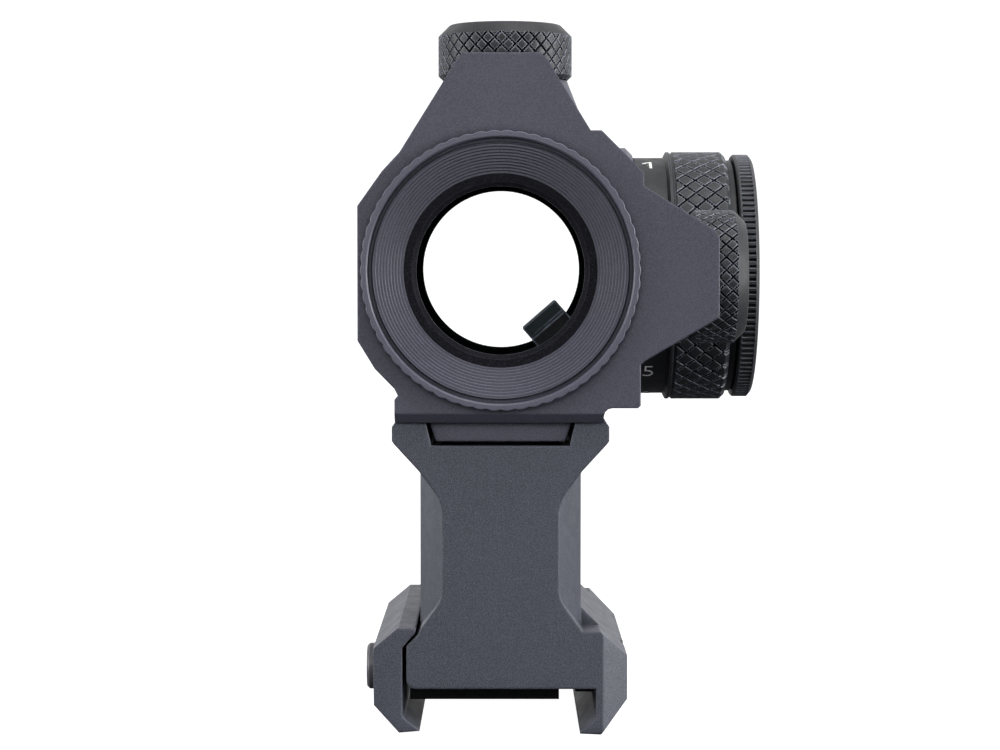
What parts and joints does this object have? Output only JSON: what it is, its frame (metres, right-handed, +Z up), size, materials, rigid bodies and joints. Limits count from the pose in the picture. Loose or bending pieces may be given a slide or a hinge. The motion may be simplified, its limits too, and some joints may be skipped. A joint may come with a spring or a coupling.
{
  "type": "tubed red dot sight",
  "caption": "Compact tubed red dot sight with capped turrets and a side brightness dial, on a tall riser with a clamp for a 21.2 mm accessory rail.",
  "frame": {"origin": "centre of the flat seat that rests on the top of the accessory rail", "axes": "+Z up, square to the rail's top; +Y forward along the bore, away from the eye; +X to the user's right"},
  "size_m": [0.046, 0.064, 0.0792],
  "materials": {
    "anodised": "graphite-grey hard-anodised aluminium",
    "bead_blasted": "bead-blasted dark grey anodised aluminium",
    "black_anodised": "black anodised aluminium",
    "black_steel": "blackened steel",
    "steel": "plain steel",
    "spring_steel": "spring steel",
    "brass": "turned brass",
    "rubber": "black rubber",
    "glass": "coated optical glass",
    "polymer": "black moulded polymer",
    "board": "printed circuit board",
    "led": "red diode chip",
    "cell": "nickel-plated can"
  },
  "bodies": {
    "frame": {"housing": "anodised", "rear_bezel": "anodised", "ocular_lens": "glass", "ocular_seal": "rubber", "ocular_retainer": "black_anodised", "front_bezel": "black_anodised", "return_spring": "spring_steel", "spring_plug": "black_steel", "elevation_bush": "brass", "windage_bush": "brass", "dial_seal": "rubber", "dial_screw": "steel", "detent_ball": "steel", "detent_spring": "spring_steel", "switch_board": "board", "riser": "bead_blasted", "base_screws": "black_steel", "clamp_insert": "black_steel", "recoil_lug": "black_steel"},
    "gimbal": {"pivot_ring": "polymer"},
    "optic": {"inner_tube": "black_anodised", "objective_lens_rear": "glass", "objective_lens_front": "glass", "objective_retainer": "black_anodised", "emitter_block": "polymer", "led_chip": "led"},
    "dial": {"brightness_dial": "black_anodised", "switch_wiper": "brass", "battery_contact": "brass", "battery": "cell"},
    "battery_cap_ring": {"battery_cap_seal": "rubber"},
    "battery_cap": {"battery_cap": "black_anodised"},
    "clamp": {"clamp_jaw": "bead_blasted"},
    "clamp_screw": {"clamp_screw": "black_steel"},
    "elevation_cap_ring": {"elevation_cap_seal": "rubber"},
    "elevation_cap": {"elevation_cap": "black_anodised"},
    "elevation_adjuster": {"elevation_adjuster": "brass"},
    "elevation_plunger": {"elevation_plunger": "brass"},
    "windage_cap_ring": {"windage_cap_seal": "rubber"},
    "windage_cap": {"windage_cap": "black_anodised"},
    "windage_adjuster": {"windage_adjuster": "brass"},
    "windage_plunger": {"windage_plunger": "brass"}
  },
  "joints": [
    {"name": "brightness_dial_turn", "type": "hinge", "parent": "frame", "child": "dial", "pos_m": [0.0201, 0.0104, 0.0458], "axis": [-1, 0, 0], "range_deg": [0, 330]},
    {"name": "battery_cap_lift", "type": "slide", "parent": "dial", "child": "battery_cap_ring", "axis": [1, 0, 0], "range_m": [0, 0.00225]},
    {"name": "battery_cap_turn", "type": "hinge", "parent": "battery_cap_ring", "child": "battery_cap", "pos_m": [0.0201, 0.0104, 0.0458], "axis": [1, 0, 0], "range_deg": [0, 1080.5]},
    {"name": "elevation_cap_lift", "type": "slide", "parent": "frame", "child": "elevation_cap_ring", "axis": [0, 0, 1], "range_m": [0, 0.003]},
    {"name": "elevation_cap_turn", "type": "hinge", "parent": "elevation_cap_ring", "child": "elevation_cap", "pos_m": [0.0005, -0.0125, 0.0705], "axis": [0, 0, 1], "range_deg": [0, 1440.5]},
    {"name": "windage_cap_lift", "type": "slide", "parent": "frame", "child": "windage_cap_ring", "axis": [1, 0, 0], "range_m": [0, 0.003]},
    {"name": "windage_cap_turn", "type": "hinge", "parent": "windage_cap_ring", "child": "windage_cap", "pos_m": [0.024, -0.0125, 0.0458], "axis": [1, 0, 0], "range_deg": [0, 1440.5]},
    {"name": "elevation_adjust", "type": "hinge", "parent": "frame", "child": "elevation_adjuster", "pos_m": [0.0005, -0.0125, 0.0705], "axis": [0, 0, 1], "range_deg": [-360.2, 360.2]},
    {"name": "windage_adjust", "type": "hinge", "parent": "frame", "child": "windage_adjuster", "pos_m": [0.024, -0.0125, 0.0458], "axis": [1, 0, 0], "range_deg": [-360.2, 360.2]},
    {"name": "elevation_plunger_slide", "type": "slide", "parent": "frame", "child": "elevation_plunger", "axis": [0, 0, 1], "range_m": [-0.0005, 0.0005]},
    {"name": "windage_plunger_slide", "type": "slide", "parent": "frame", "child": "windage_plunger", "axis": [1, 0, 0], "range_m": [-0.0005, 0.0005]},
    {"name": "optic_pitch", "type": "hinge", "parent": "frame", "child": "gimbal", "pos_m": [0, 0.03, 0.0465], "axis": [1, 0, 0], "range_deg": [-0.68, 0.68]},
    {"name": "optic_yaw", "type": "hinge", "parent": "gimbal", "child": "optic", "pos_m": [0, 0.03, 0.0465], "axis": [0, 0, 1], "range_deg": [-0.68, 0.68], "deforming": ["return_spring"]},
    {"name": "clamp_slide", "type": "slide", "parent": "frame", "child": "clamp", "axis": [-1, 0, 0], "range_m": [0, 0.0028]},
    {"name": "clamp_screw_turn", "type": "hinge", "parent": "clamp", "child": "clamp_screw", "pos_m": [-0.0134, -0.008, 0.0008], "axis": [-1, 0, 0], "range_deg": [0, 1440.5]}
  ],
  "couplings": [
    {"joint": "battery_cap_turn", "follows": "battery_cap_lift", "rad_per_m": 8377.6},
    {"joint": "elevation_cap_turn", "follows": "elevation_cap_lift", "rad_per_m": 8377.6},
    {"joint": "windage_cap_turn", "follows": "windage_cap_lift", "rad_per_m": 8377.6},
    {"joint": "elevation_adjust", "follows": "elevation_plunger_slide", "rad_per_m": -12566},
    {"joint": "windage_adjust", "follows": "windage_plunger_slide", "rad_per_m": -12566},
    {"joint": "optic_pitch", "follows": "elevation_plunger_slide", "rad_per_m": -23.529},
    {"joint": "optic_yaw", "follows": "windage_plunger_slide", "rad_per_m": 23.529},
    {"joint": "clamp_screw_turn", "follows": "clamp_slide", "rad_per_m": 8976}
  ]
}
